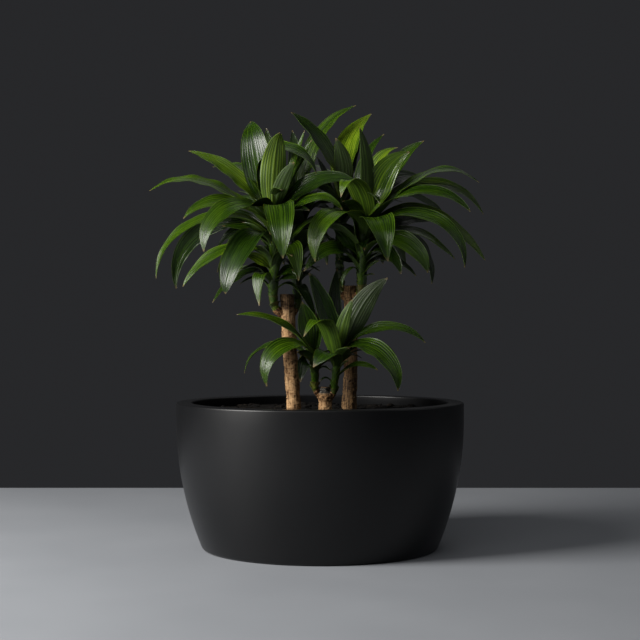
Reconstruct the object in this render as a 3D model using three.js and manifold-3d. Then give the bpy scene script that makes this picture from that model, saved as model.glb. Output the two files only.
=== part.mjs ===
// A potted dracaena. A wide bowl full of soil holds three cut canes, and each cane carries two leafy
// shoots. Units are millimetres, +Z is up, and the origin is the middle of the bowl's flat foot, on the
// floor. The side seen first faces -Y, with +X to its right.

import * as THREE from 'three';
import { mergeVertices } from 'three/addons/utils/BufferGeometryUtils.js';
import Module from 'manifold-3d';

const wasm = await Module();
wasm.setup();

// Bowl
const BOWL_RADIUS = 300;
const BOWL_HEIGHT = 304;
const SIDE_ARC = 690; // radius of the side's bulge
const SIDE_UPRIGHT_FROM = 270; // the side stands straight above this height
const FOOT_ROUND = 10;
const RIM_WIDTH = 33;
const RIM_ROUND = 4;
const WALL = 14;
const WALL_THICKENS_FROM = 200; // from here the wall leans in to the rim's full width
const FLOOR = 16;
const CAVITY_BEND = 90; // one more height that the cavity's side is shaped at
const BOWL_SIDES = 48;
const FOOT_STEPS = 2;
const SIDE_STEPS = 5;
const RIM_STEPS = 2;

// Soil
const SOIL_HEIGHT = 284;
const SOIL_RINGS = [200, 100]; // radii of the points that the surface rises and falls at
const SOIL_SWELL = 3;
const SOIL_WAVE_X = 31;
const SOIL_WAVE_Y = 27;
const SOIL_WAVE_SLANTED = 17;
const SLANTED_SHARE = 0.6;
const SOIL_GAP = 0.6; // between the soil and the bowl

// Canes and stems
const CANE_SIDES = 12;
const STEM_SIDES = 8;
const CANE_STEP = 26; // length between a cane's rings
const STEM_STEP = 32;
const CALLUS_STEP = 11;
const CALLUS_AT_CANE = 1.25; // how much thicker than the stem the callus is at its foot
const CALLUS_AT_STEM = 1.15; // and where it ends
const CANE_SWELL = 0.04; // how much the old leaf rings swell the cane, of its radius
const CANE_SWELL_LENGTH = 47;
const HOLE_CLEARANCE = 0.6; // round a cane in the soil
const HOLE_DEPTH = 2; // below its foot

// Leaves
const BLADE_STATIONS = [0, 0.2, 0.42, 0.64, 0.84, 1];
const WIDEST_AT = 0.48;
const ROOT_WIDTH = 0.25; // of the greatest width
const TIP_HALF_WIDTH = 0.7;
const TIP_FULLNESS = 2.1; // how late the blade narrows to its tip
const EDGE_THICKNESS = 0.7;
const RIB_TOP = 0.3;
const RIB_BELOW = 1.0;
const GUTTER_AT_ROOT = 52; // degrees that each half of the blade is folded up
const GUTTER_OPENING = 2.2; // how soon the fold opens past the root
const GUTTER_AT_MIDDLE = 9;
const GUTTER_AT_TIP = 6;
const TURN_DONE_AT = 0.5; // a blade has turned as far as it will by here
const ROOT_OFF_AXIS = 0.5; // of the stem's radius

const GAP = 0.3; // between neighbours that touch
const FINENESS = 0.04; // the smallest detail of a fused shoot
const SAME_POINT = 1e-4; // points closer than this are one
const UP = new THREE.Vector3(0, 0, 1);
const DEPTH = new THREE.Vector3(0, 1, 0);

// Points of canes, stems and leaves are written [x, y, z], with x and z as they line up in the plane of
// the bowl's axis for an eye this far in front and this high, and y as the true depth.
const EYE_DISTANCE = 3060;
const EYE_HEIGHT = 475;

function place([x, y, z]) {
  const scale = (EYE_DISTANCE + y) / EYE_DISTANCE;
  return new THREE.Vector3(x * scale, y, EYE_HEIGHT + (z - EYE_HEIGHT) * scale);
}

// Each cane: the middles of its rings from its foot in the soil to its cut, and its radius at each.
const CANES = {
  cane_left: {
    axis: [[-51, 0, 140], [-55, 0, 300], [-61, 0, 387], [-67, 0, 475], [-69, 0, 529]],
    radii: [14.2, 14.8, 14.8, 15.3, 15],
  },
  cane_right: {
    axis: [[59, 25, 140], [61, 25, 300], [64, 25, 357], [64, 25, 500], [64, 25, 547]],
    radii: [15.5, 15.5, 14.6, 14.6, 14],
  },
  cane_middle: {
    axis: [[10, -50, 140], [11, -50, 304], [12, -50, 312], [12, -50, 321], [10, -50, 326], [10, -50, 335]],
    radii: [13, 13.5, 18, 18, 11.5, 11],
  },
};

// Each shoot: the cane it grows from, the length of brown callus at its foot, which belongs to the cane,
// its stem from inside the cane to its growing tip, and its leaves. A leaf is the height of its root,
// its greatest width, the degrees it turns about its own length, and the points that its midrib runs
// through, the last of them its tip.
const SHOOTS = {
  shoot_left_front: {
    cane: 'cane_left',
    callus: 29,
    radius: 7.5,
    stem: [[-70, 0, 482], [-93, -8, 500], [-98, -14, 534], [-95, -20, 592], [-97, -24, 660], [-99, -26, 715]],
    leaves: [
      [662, 38, -42, [-162, 4, 765], [-210, 12, 803], [-275, 22, 829]],
      [655, 44, -25, [-205, -24, 748], [-272, -30, 769], [-357, -32, 745]],
      [690, 42, -20, [-150, 35, 785], [-224, 100, 795]],
      [645, 46, -40, [-190, -26, 722], [-245, -38, 717], [-286, -50, 687]],
      [636, 54, -30, [-150, -62, 718], [-210, -98, 699], [-243, -120, 618]],
      [638, 44, -31, [-200, -4, 692], [-285, -8, 666], [-343, -10, 562]],
      [630, 44, -125, [-200, 26, 687], [-262, 42, 654], [-301, 50, 541]],
      [590, 38, -38, [-172, -18, 627], [-240, -24, 600], [-287, -26, 545]],
      [618, 60, -22, [-126, -54, 658], [-165, -98, 628], [-198, -122, 530]],
      [575, 42, -35, [-150, -14, 622], [-180, -26, 590], [-197, -34, 530]],
      [560, 44, -40, [-147, 14, 575], [-225, 26, 511]],
      [545, 34, 0, [-120, -38, 571], [-127, -58, 505]],
      [528, 20, -20, [-132, -12, 563], [-168, -14, 550]],
      [690, 66, -48, [-128, 12, 790], [-141, 24, 860], [-146, 66, 890]],
      [690, 54, -2, [-98, -50, 780], [-90, -64, 846], [-84, -90, 867]],
      [700, 40, 0, [-104, 50, 805], [-112, 80, 876]],
      [690, 46, 35, [-88, -8, 836], [-54, -26, 832], [-8, -44, 781]],
      [690, 32, -46, [-78, -66, 765], [-54, -100, 806]],
      [695, 28, 10, [-62, -8, 785], [-32, -4, 872]],
      [695, 28, 10, [-56, 12, 780], [-17, 20, 852]],
      [640, 56, 45, [-50, -20, 740], [22, -34, 773], [75, -44, 766]],
      [625, 42, 35, [-55, -46, 708], [0, -62, 732], [47, -72, 706]],
      [650, 62, 14, [-88, -76, 716], [-84, -124, 700], [-78, -150, 604]],
      [580, 46, 14, [-66, -58, 632], [-45, -84, 557]],
      [590, 32, 30, [-60, -30, 645], [-30, -36, 676], [15, -44, 690]],
      [625, 38, -10, [-150, 60, 672], [-212, 120, 671]],
      [600, 42, 0, [-150, 85, 660], [-215, 165, 575]],
      [615, 44, 0, [-108, 100, 695], [-122, 195, 640]],
      [650, 44, -20, [-165, 85, 728], [-225, 150, 690]],
      [665, 44, 0, [-90, 90, 775], [-84, 180, 790]],
      [575, 36, 0, [-92, 70, 612], [-98, 140, 560]],
      [545, 34, 45, [-66, -24, 579], [-48, -36, 566]],
    ],
  },
  shoot_left_back: {
    cane: 'cane_left',
    callus: 27,
    radius: 6.5,
    stem: [[-67, 0, 482], [-50, 20, 500], [-48, 30, 545], [-42, 46, 620], [-38, 60, 690]],
    leaves: [
      [680, 38, 28, [-22, 84, 820], [5, 98, 872], [75, 116, 924]],
      [560, 20, 0, [-35, 10, 588], [0, 0, 577]],
      [550, 26, 0, [-25, 36, 570], [5, 40, 540]],
      [525, 26, 0, [-45, -14, 548], [-7, -22, 478]],
      [600, 40, 0, [-10, 110, 660], [15, 190, 590]],
      [640, 42, 0, [-60, 130, 725], [-78, 215, 700]],
      [655, 42, 0, [0, 120, 755], [40, 210, 735]],
      [675, 42, 0, [-48, 100, 790], [-58, 135, 872]],
      [610, 36, 0, [-72, 100, 650], [-75, 170, 590]],
    ],
  },
  shoot_right_front: {
    cane: 'cane_right',
    callus: 27,
    radius: 8,
    stem: [[66, 25, 514], [84, 8, 532], [87, 2, 563], [87, -4, 600], [90, -6, 650], [93, -6, 705]],
    leaves: [
      [690, 34, 34, [100, -40, 800], [83, -50, 878]],
      [690, 26, 0, [98, 34, 818], [134, 60, 864]],
      [685, 36, 35, [112, 6, 790], [128, 10, 818], [163, 16, 836]],
      [660, 58, 112, [118, -22, 745], [145, -30, 797], [188, -40, 827]],
      [665, 48, 40, [140, 8, 770], [180, 14, 823], [218, 20, 850]],
      [660, 50, 0, [78, -52, 752], [60, -80, 768], [44, -96, 733]],
      [620, 62, -10, [54, -54, 702], [18, -90, 691], [-10, -106, 597]],
      [570, 40, -45, [35, -26, 625], [-34, -48, 577]],
      [588, 46, -72, [62, 8, 650], [20, 12, 676]],
      [632, 64, 8, [112, -64, 688], [124, -112, 684], [142, -138, 598]],
      [660, 46, 22, [178, -12, 751], [245, -20, 787], [333, -26, 763]],
      [655, 42, 42, [200, 16, 755], [275, 24, 754], [342, 30, 696]],
      [650, 42, 34, [187, -42, 742], [260, -60, 740], [315, -76, 702]],
      [690, 50, 45, [150, 54, 772], [215, 104, 772]],
      [630, 36, 42, [188, -34, 699], [256, -50, 680], [303, -58, 585]],
      [635, 44, 46, [198, 8, 706], [275, 12, 673], [346, 14, 600]],
      [620, 42, 34, [175, 50, 682], [228, 96, 681]],
      [600, 50, 42, [165, -44, 644], [200, -60, 622], [226, -68, 574]],
      [595, 46, 50, [178, 26, 655], [215, 38, 622], [234, 42, 550]],
      [605, 38, 28, [190, -2, 662], [240, -8, 640], [283, -10, 602]],
      [570, 32, 45, [138, -20, 622], [158, -30, 600], [170, -34, 572]],
      [565, 32, 34, [135, 8, 604], [172, 14, 593], [201, 18, 567]],
      [610, 42, 0, [135, 75, 665], [180, 150, 585]],
      [640, 44, 0, [180, 80, 735], [265, 150, 690]],
      [665, 44, 0, [128, 80, 765], [170, 160, 770]],
      [680, 42, 0, [118, 60, 785], [142, 110, 822]],
      [585, 38, 0, [112, 70, 622], [132, 140, 592]],
      [590, 38, -60, [76, -14, 660], [66, -22, 700]],
    ],
  },
  shoot_right_back: {
    cane: 'cane_right',
    callus: 27,
    radius: 7,
    stem: [[62, 25, 514], [46, 43, 534], [42, 52, 575], [42, 60, 640], [47, 66, 750]],
    leaves: [
      [725, 42, -60, [22, 52, 815], [-18, 48, 874], [-60, 46, 910]],
      [735, 65, 0, [58, 100, 843], [74, 122, 874], [108, 140, 907]],
      [730, 40, 0, [46, 26, 815], [33, 14, 856]],
      [725, 36, 0, [64, 84, 790], [84, 96, 848]],
      [640, 40, -20, [10, 66, 700], [-28, 66, 672]],
      [700, 36, 0, [14, 84, 775], [-6, 96, 816]],
      [655, 44, 0, [42, 140, 745], [36, 225, 690]],
      [690, 44, 0, [86, 130, 780], [130, 200, 775]],
      [610, 40, 0, [62, 120, 665], [76, 190, 600]],
      [595, 34, -20, [20, 56, 640], [-14, 60, 618]],
      [700, 42, 0, [0, 150, 790], [-30, 220, 800]],
    ],
  },
  shoot_middle_left: {
    cane: 'cane_middle',
    callus: 22,
    radius: 5.5,
    stem: [[6, -50, 313], [-8, -53, 327], [-10, -56, 357], [-14, -58, 395], [-15, -60, 412]],
    leaves: [
      [385, 32, -25, [-70, -62, 461], [-120, -66, 483], [-175, -68, 486]],
      [380, 33, -15, [-92, -44, 424], [-128, -42, 412], [-158, -40, 363]],
      [362, 45, -30, [-42, -86, 424], [-86, -114, 416], [-111, -128, 336]],
      [352, 30, -45, [-30, -78, 387], [-41, -92, 345]],
      [395, 48, -72, [-26, -62, 465], [-38, -58, 513]],
      [370, 32, 0, [-20, 15, 425], [-16, 75, 400]],
      [390, 34, 0, [-14, 10, 470], [-20, 60, 500]],
    ],
  },
  shoot_middle_right: {
    cane: 'cane_middle',
    callus: 20,
    radius: 5.5,
    stem: [[14, -50, 309], [29, -56, 324], [31, -58, 350], [35, -60, 382], [41, -62, 412]],
    leaves: [
      [385, 46, 0, [20, -92, 442], [4, -112, 472], [-34, -138, 440]],
      [395, 28, -42, [48, -88, 465], [69, -100, 519]],
      [390, 50, -86, [70, -64, 470], [98, -68, 520], [142, -72, 563]],
      [395, 36, 25, [28, -26, 490], [36, -10, 583]],
      [395, 43, -40, [10, -46, 500], [-23, -36, 573]],
      [385, 29, 42, [90, -60, 448], [155, -64, 461], [221, -66, 427]],
      [375, 46, 35, [82, -88, 424], [128, -112, 406], [163, -126, 327]],
      [385, 32, 0, [120, -36, 430], [172, -30, 361]],
      [355, 24, 25, [88, -72, 382], [121, -78, 370]],
      [370, 20, 0, [75, -48, 410], [102, -44, 412]],
      [370, 54, -12, [16, -100, 406], [-14, -118, 376]],
      [390, 32, 0, [34, 0, 462], [26, 55, 478]],
    ],
  },
};

const MATERIALS = {
  planter: { color: 0x1d1e20, roughness: 0.6, metalness: 0 },
  soil: { color: 0x1a1512, roughness: 1, metalness: 0 },
  cane: { color: 0xb59870, roughness: 0.9, metalness: 0 },
  leaf: { color: 0x2f5a1c, roughness: 0.4, metalness: 0 },
};

// ---- Solids ----

function toSolid(geometry) {
  const bare = geometry.clone();
  bare.deleteAttribute('normal');
  bare.deleteAttribute('uv');
  const merged = mergeVertices(bare, SAME_POINT);
  const triangles = Uint32Array.from(merged.index.array);
  const vertices = Float32Array.from(merged.attributes.position.array);
  return new wasm.Manifold(new wasm.Mesh({ numProp: 3, vertProperties: vertices, triVerts: triangles }));
}

// Closed rings of points, one after another along a piece, joined into a solid with flat ends. Both
// faces of a thin blade are split along the same diagonals, so that they can't cross.
function loft(rings) {
  const count = rings[0].length;
  const half = count / 2;
  const last = (rings.length - 1) * count;
  const faces = [];
  const addQuad = (a, b, c, d) => faces.push(a, b, c, a, c, d);
  for (let start = 0; start < last; start += count) {
    for (let i = 0; i < count; i += 1) {
      const next = (i + 1) % count;
      const [a, b, c, d] = [start + i, start + next, start + count + next, start + count + i];
      if (i < half) addQuad(a, b, c, d);
      else addQuad(b, c, d, a);
    }
  }
  for (let i = 0; i < half - 1; i += 1) {
    const [a, b, c, d] = [i, i + 1, count - 2 - i, count - 1 - i];
    addQuad(d, c, b, a);
    addQuad(last + a, last + b, last + c, last + d);
  }
  const geometry = new THREE.BufferGeometry().setFromPoints(rings.flat());
  geometry.setIndex(faces);
  return toSolid(geometry);
}

// The outer skin of a solid: what fusing closes off inside is filled, and loose scraps are dropped.
function outerBody(solid) {
  return solid.decompose().reduce((kept, body) => (body.volume() > kept.volume() ? body : kept));
}

function toMesh(name, solid, look) {
  const { vertProperties, triVerts } = solid.getMesh();
  const geometry = new THREE.BufferGeometry();
  geometry.setAttribute('position', new THREE.BufferAttribute(Float32Array.from(vertProperties), 3));
  geometry.setIndex(Array.from(triVerts));
  const mesh = new THREE.Mesh(geometry, new THREE.MeshStandardMaterial({ ...look, flatShading: true }));
  mesh.name = name;
  return mesh;
}

// ---- Bowl and soil ----

function bowlRadiusAt(height) {
  const below = Math.max(0, SIDE_UPRIGHT_FROM - height);
  return BOWL_RADIUS - SIDE_ARC + Math.sqrt(SIDE_ARC ** 2 - below ** 2);
}

// A lathed shape turns about +Y, and is stood up on +Z.
function stoodUp(geometry) {
  return geometry.rotateX(Math.PI / 2);
}

function arcPoints(centreX, centreY, radius, fromAngle, toAngle, steps) {
  return Array.from({ length: steps + 1 }, (_, i) => {
    const angle = fromAngle + ((toAngle - fromAngle) * i) / steps;
    return new THREE.Vector2(centreX + radius * Math.cos(angle), centreY + radius * Math.sin(angle));
  });
}

function cavityRadiusAt(height) {
  if (height <= WALL_THICKENS_FROM) return bowlRadiusAt(height) - WALL;
  const belly = bowlRadiusAt(WALL_THICKENS_FROM) - WALL;
  const rise = (height - WALL_THICKENS_FROM) / (BOWL_HEIGHT - WALL_THICKENS_FROM);
  return belly + (BOWL_RADIUS - RIM_WIDTH - belly) * rise;
}

const CAVITY_HEIGHTS = [FLOOR, CAVITY_BEND, WALL_THICKENS_FROM];

function planter() {
  const sideX = BOWL_RADIUS - SIDE_ARC;
  const sideY = SIDE_UPRIGHT_FROM;
  const reach = SIDE_ARC - FOOT_ROUND;
  const footX = sideX + Math.sqrt(reach ** 2 - (sideY - FOOT_ROUND) ** 2);
  const meet = Math.atan2(FOOT_ROUND - sideY, footX - sideX);
  const foot = arcPoints(footX, FOOT_ROUND, FOOT_ROUND, -Math.PI / 2, meet, FOOT_STEPS);
  const side = arcPoints(sideX, sideY, SIDE_ARC, meet, 0, SIDE_STEPS).slice(1);
  const rimX = BOWL_RADIUS - RIM_ROUND;
  const rimY = BOWL_HEIGHT - RIM_ROUND;
  const rim = arcPoints(rimX, rimY, RIM_ROUND, 0, Math.PI / 2, RIM_STEPS);
  const lip = [
    new THREE.Vector2(cavityRadiusAt(BOWL_HEIGHT) + RIM_ROUND / 2, BOWL_HEIGHT),
    new THREE.Vector2(cavityRadiusAt(BOWL_HEIGHT - RIM_ROUND / 2), BOWL_HEIGHT - RIM_ROUND / 2),
  ];
  const cavity = CAVITY_HEIGHTS.toReversed().map((z) => new THREE.Vector2(cavityRadiusAt(z), z));
  const profile = [
    new THREE.Vector2(0, 0), ...foot, ...side, ...rim, ...lip, ...cavity, new THREE.Vector2(0, FLOOR),
  ];
  return toSolid(stoodUp(new THREE.LatheGeometry(profile, BOWL_SIDES)));
}

function soilSwell(x, y) {
  const slanted = SLANTED_SHARE * Math.sin((x + y) / SOIL_WAVE_SLANTED);
  return SOIL_SWELL * (Math.sin(x / SOIL_WAVE_X) * Math.cos(y / SOIL_WAVE_Y) + slanted);
}

function soil(canes) {
  const side = CAVITY_HEIGHTS.map((z) => new THREE.Vector2(cavityRadiusAt(z) - SOIL_GAP, z + SOIL_GAP));
  const surface = SOIL_RINGS.map((radius) => new THREE.Vector2(radius, SOIL_HEIGHT));
  const profile = [
    new THREE.Vector2(0, FLOOR + SOIL_GAP),
    ...side,
    new THREE.Vector2(cavityRadiusAt(SOIL_HEIGHT) - SOIL_GAP, SOIL_HEIGHT),
    ...surface,
    new THREE.Vector2(0, SOIL_HEIGHT),
  ];
  const geometry = stoodUp(new THREE.LatheGeometry(profile, BOWL_SIDES));
  const points = geometry.attributes.position;
  for (let i = 0; i < points.count; i += 1) {
    const inside = Math.hypot(points.getX(i), points.getY(i)) <= SOIL_RINGS[0] + 1;
    if (inside && points.getZ(i) > SOIL_HEIGHT - 1) {
      points.setZ(i, SOIL_HEIGHT + soilSwell(points.getX(i), points.getY(i)));
    }
  }
  return canes.reduce((body, cane) => body.subtract(cane), toSolid(geometry));
}

// ---- Canes and stems ----

function levelRing(middle, radius) {
  return Array.from({ length: CANE_SIDES }, (_, i) => {
    const angle = (2 * Math.PI * i) / CANE_SIDES;
    return new THREE.Vector3(radius * Math.cos(angle), radius * Math.sin(angle), 0).add(middle);
  });
}

// A tube of changing radius along a curve, from one length along it to another.
function tube(curve, radiusAt, sides, step, from, to) {
  const total = curve.getLength();
  const steps = Math.max(2, Math.round((to - from) / step));
  const rings = Array.from({ length: steps + 1 }, (_, k) => {
    const along = (from + ((to - from) * k) / steps) / total;
    const centre = curve.getPointAt(along);
    const tangent = curve.getTangentAt(along);
    const across = DEPTH.clone().cross(tangent).normalize();
    const outward = tangent.clone().cross(across);
    const radius = radiusAt(along);
    return Array.from({ length: sides }, (_unused, i) => {
      const angle = (2 * Math.PI * i) / sides;
      return centre.clone()
        .addScaledVector(across, radius * Math.cos(angle))
        .addScaledVector(outward, radius * Math.sin(angle));
    });
  });
  return loft(rings);
}

function curveThrough(points) {
  return new THREE.CatmullRomCurve3(points.map(place), false, 'centripetal');
}

// The old leaf scars swell a cane a little, and again and again along it.
function swollen(radius, height) {
  return radius * (1 + CANE_SWELL * Math.sin((2 * Math.PI * height) / CANE_SWELL_LENGTH));
}

// A cane is built of level rings, with more of them above the soil.
function caneSolid({ axis, radii }) {
  const middles = axis.map(place);
  const rings = [levelRing(middles[0], radii[0])];
  for (let i = 1; i < middles.length; i += 1) {
    const buried = middles[i - 1].z < SOIL_HEIGHT;
    const steps = buried ? 1 : Math.max(1, Math.round(middles[i].distanceTo(middles[i - 1]) / CANE_STEP));
    for (let k = 1; k <= steps; k += 1) {
      const middle = middles[i - 1].clone().lerp(middles[i], k / steps);
      const radius = THREE.MathUtils.lerp(radii[i - 1], radii[i], k / steps);
      rings.push(levelRing(middle, swollen(radius, middle.z)));
    }
  }
  return loft(rings);
}

// The plain hole in the soil that a cane stands in.
function caneHole({ axis, radii }) {
  const [foot, ground] = axis.map(place);
  foot.z -= HOLE_DEPTH;
  const radius = Math.max(radii[0], swollen(radii[1], ground.z)) + HOLE_CLEARANCE;
  return loft([levelRing(foot, radius), levelRing(ground, radius)]);
}

function callusSolid({ stem, callus, radius }) {
  const curve = curveThrough(stem);
  const end = callus / curve.getLength();
  const radiusAt = (along) => radius * THREE.MathUtils.lerp(CALLUS_AT_CANE, CALLUS_AT_STEM, along / end);
  return tube(curve, radiusAt, STEM_SIDES, CALLUS_STEP, 0, callus);
}

function stemSolid({ stem, callus, radius }) {
  const curve = curveThrough(stem);
  return tube(curve, () => radius, STEM_SIDES, STEM_STEP, callus + GAP, curve.getLength());
}

// ---- Leaves ----

// A smooth curve that runs through its three or four points.
class Midrib extends THREE.Curve {
  constructor(points) {
    super();
    this.points = points;
    const lengths = points.slice(1).map((point, i) => point.distanceTo(points[i]));
    const total = lengths.reduce((sum, length) => sum + length, 0);
    this.knots = lengths.reduce((knots, length) => [...knots, knots.at(-1) + length / total], [0]);
  }

  getPoint(t) {
    const { points, knots } = this;
    return points.reduce((sum, point, i) => {
      const others = knots.filter((_, j) => j !== i);
      const weight = others.reduce((product, knot) => (product * (t - knot)) / (knots[i] - knot), 1);
      return sum.addScaledVector(point, weight);
    }, new THREE.Vector3());
  }
}

function stemPointAt(stem, height) {
  const points = stem.map(place);
  const i = Math.max(1, points.findIndex((point) => point.z >= height));
  const share = (height - points[i - 1].z) / (points[i].z - points[i - 1].z);
  return points[i - 1].clone().lerp(points[i], share);
}

function bladeHalfWidth(width, t) {
  if (t < WIDEST_AT) {
    const grown = Math.sin((Math.PI / 2) * (t / WIDEST_AT));
    return (width / 2) * (ROOT_WIDTH + (1 - ROOT_WIDTH) * grown);
  }
  const past = (t - WIDEST_AT) / (1 - WIDEST_AT);
  return TIP_HALF_WIDTH + (width / 2 - TIP_HALF_WIDTH) * (1 - past ** TIP_FULLNESS);
}

function gutterAt(t) {
  if (t < WIDEST_AT) {
    const closed = (1 - t / WIDEST_AT) ** GUTTER_OPENING;
    return THREE.MathUtils.lerp(GUTTER_AT_MIDDLE, GUTTER_AT_ROOT, closed);
  }
  return THREE.MathUtils.lerp(GUTTER_AT_MIDDLE, GUTTER_AT_TIP, (t - WIDEST_AT) / (1 - WIDEST_AT));
}

function leafBlade({ stem, radius }, [rootHeight, width, turn, ...way]) {
  const axisPoint = stemPointAt(stem, rootHeight);
  const points = way.map(place);
  const middle = points.reduce((sum, point) => sum.add(point), new THREE.Vector3());
  const outward = middle.divideScalar(points.length).sub(axisPoint).setZ(0).normalize();
  const root = axisPoint.addScaledVector(outward, radius * ROOT_OFF_AXIS);
  const midrib = new Midrib([root, ...points]);
  const rings = BLADE_STATIONS.map((t) => {
    const centre = midrib.getPoint(t);
    const along = midrib.getTangent(t);
    const across = UP.clone().cross(outward);
    across.addScaledVector(along, -across.dot(along)).normalize();
    const angle = THREE.MathUtils.degToRad(turn) * Math.min(1, t / TURN_DONE_AT);
    across.applyAxisAngle(along, angle);
    const face = along.clone().cross(across);
    const half = bladeHalfWidth(width, t);
    const gutter = THREE.MathUtils.degToRad(gutterAt(t));
    const at = (side, above) => centre.clone()
      .addScaledVector(across, side * half * Math.cos(gutter))
      .addScaledVector(face, Math.abs(side) * half * Math.sin(gutter) + above);
    const edge = EDGE_THICKNESS / 2;
    return [at(1, edge), at(0, RIB_TOP), at(-1, edge), at(-1, -edge), at(0, -RIB_BELOW), at(1, -edge)];
  });
  return loft(rings);
}

function shootSolid(shoot) {
  const blades = shoot.leaves.map((leaf) => leafBlade(shoot, leaf));
  const fused = blades.reduce((body, blade) => body.add(blade), stemSolid(shoot));
  return outerBody(fused.simplify(FINENESS));
}

// ---- The whole plant in its bowl ----

const plant = new THREE.Group();
const holes = Object.values(CANES).map(caneHole);
plant.add(toMesh('planter', planter(), MATERIALS.planter));
plant.add(toMesh('soil', soil(holes), MATERIALS.soil));
for (const [name, cane] of Object.entries(CANES)) {
  const calluses = Object.values(SHOOTS).filter((shoot) => shoot.cane === name).map(callusSolid);
  const solid = calluses.reduce((body, callus) => body.add(callus), caneSolid(cane));
  plant.add(toMesh(name, outerBody(solid), MATERIALS.cane));
}
for (const [name, shoot] of Object.entries(SHOOTS)) {
  plant.add(toMesh(name, shootSolid(shoot), MATERIALS.leaf));
}

export default plant;
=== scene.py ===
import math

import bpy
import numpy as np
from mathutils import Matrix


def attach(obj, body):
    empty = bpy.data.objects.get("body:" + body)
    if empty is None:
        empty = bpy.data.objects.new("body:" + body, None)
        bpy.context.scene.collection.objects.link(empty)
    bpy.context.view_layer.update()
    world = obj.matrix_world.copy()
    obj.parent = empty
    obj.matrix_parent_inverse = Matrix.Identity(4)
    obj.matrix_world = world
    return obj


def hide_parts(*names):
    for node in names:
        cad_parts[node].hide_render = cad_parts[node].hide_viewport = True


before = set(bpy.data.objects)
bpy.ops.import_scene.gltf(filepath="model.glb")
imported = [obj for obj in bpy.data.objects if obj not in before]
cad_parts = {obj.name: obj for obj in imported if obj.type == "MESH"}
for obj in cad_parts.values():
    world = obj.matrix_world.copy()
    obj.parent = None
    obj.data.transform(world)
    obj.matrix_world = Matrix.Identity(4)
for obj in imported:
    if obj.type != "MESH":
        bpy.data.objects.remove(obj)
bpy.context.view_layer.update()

# A potted dracaena: a wide matte bowl of soil, three cut canes, and two leafy shoots on each cane.
# Lengths are millimetres up to the point where a mesh is made, which is in metres. The origin is the
# middle of the bowl's foot, +Z is up, and the side seen first faces -Y, with +X to its right.

MM = 0.001
UP = np.array((0.0, 0.0, 1.0))
DEPTH = np.array((0.0, 1.0, 0.0))

# The camera stands level with the middle of the plant. Points of canes, stems and leaves are written
# (x, y, z), with x and z as they line up in the plane of the bowl's axis for an eye at the camera, and
# y as the true depth.
EYE_DISTANCE = 3060
EYE_HEIGHT = 475
LENS = 82.2
SENSOR = 36

# Floor and light, in metres
FLOOR_FRONT = -6.0
FLOOR_BACK = 1.074
FLOOR_SIDE = 7
LIT_POINT = (0, 0, 0.5)
SURROUND = (0.0205, 0.021, 0.0228, 1)

# Bowl. Its side is an arc of radius SIDE_ARC, which is upright at the height SIDE_UPRIGHT_FROM. The
# wall is even up to WALL_THICKENS_FROM, and thickens from there to the rim.
BOWL_RADIUS = 300
BOWL_HEIGHT = 304
SIDE_ARC = 690
SIDE_UPRIGHT_FROM = 270
FOOT_ROUND = 10
RIM_WIDTH = 33
RIM_ROUND = 4
LIP_ROUND = 3
WALL = 14
WALL_THICKENS_FROM = 200
BOWL_FLOOR = 16
BOWL_SIDES = 240
AXIS_RING = 0.5  # the radius of the smallest ring of a turned body

# Soil. Broad waves, which fade out near the bowl, and fine crumble on them.
SOIL_HEIGHT = 284
SOIL_SWELL = 3
SOIL_WAVE_X = 31
SOIL_WAVE_Y = 27
SOIL_WAVE_SLANTED = 17
SLANTED_SHARE = 0.6
SOIL_GAP = 0.6
SOIL_CALM_EDGE = 60
SOIL_SIDE_TOP = SOIL_HEIGHT - 12
SOIL_RINGS = 110
SOIL_SIDES = 300
CRUMBLE_WAVES = 40
CRUMBLE_HEIGHT = 0.55
CRUMBS = 900
CRUMB_SIDES = 7
CRUMB_LEVELS = np.array((-0.98, -0.7, 0.0, 0.6, 0.95))  # shares of half a crumb's height
CRUMBS_OFF_BOWL = 8
CRUMBS_OFF_CANE = 20

# Canes and stems
CANE_SWELL = 0.04
CANE_SWELL_LENGTH = 47
CANE_SIDES = 72
CANE_STEP = 1.3
BURIED_RINGS = 8
BURIED_TO = SOIL_HEIGHT - 20
FINE_RINGS_FROM = SOIL_HEIGHT - 16
BARK_INSET = 0.2
CUT_DEPTH = 1.2  # how far below the top of a cane its bark ends
CAP_SHRINK = np.array((0.97, 0.9, 0.84, 0.6, 0.3, 0.03))  # the rings of the cut, as shares of the last
CAP_RISE = np.array((0.9, 1.2, 0.7, 0.3, 0.5, 0.2))
NOTCH_SPACING = 1.8
CRACK_SPACING = 7
FLAKE_SPACING = 5.5
STEM_SIDES = 28
STEM_STEP = 1.9
STEM_RING_SPACING = 7.5
CALLUS_AT_CANE = 1.25
CALLUS_AT_STEM = 1.15
CALLUS_SIDES = 40
CALLUS_STEP = 1.1
GAP = 0.3  # between a stem and its callus
CURVE_SAMPLES = 60

# Leaves. WIDEST_AT and TURN_DONE_AT are shares of the length, and the gutter's angles are degrees that
# each half of a blade is folded up.
WIDEST_AT = 0.48
ROOT_WIDTH = 0.25
TIP_HALF_WIDTH = 0.7
TIP_FULLNESS = 2.1
GUTTER_AT_ROOT = 52
GUTTER_OPENING = 2.2
GUTTER_AT_MIDDLE = 9
GUTTER_AT_TIP = 6
TURN_DONE_AT = 0.5
ROOT_OFF_AXIS = 0.5
BLADE_STEP = 7
FEWEST_ROWS = 15
TANGENT_STEP = 1e-4
PLEAT_WIDTH = 5.4
PLEAT_HEIGHT = 0.3
COLUMNS_PER_PLEAT = 4
HALF_THICKNESS = 0.3
RIB_HALF_WIDTH = 0.07
RIB_DIP = 0.25
RIB_KEEL = 0.75

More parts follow.
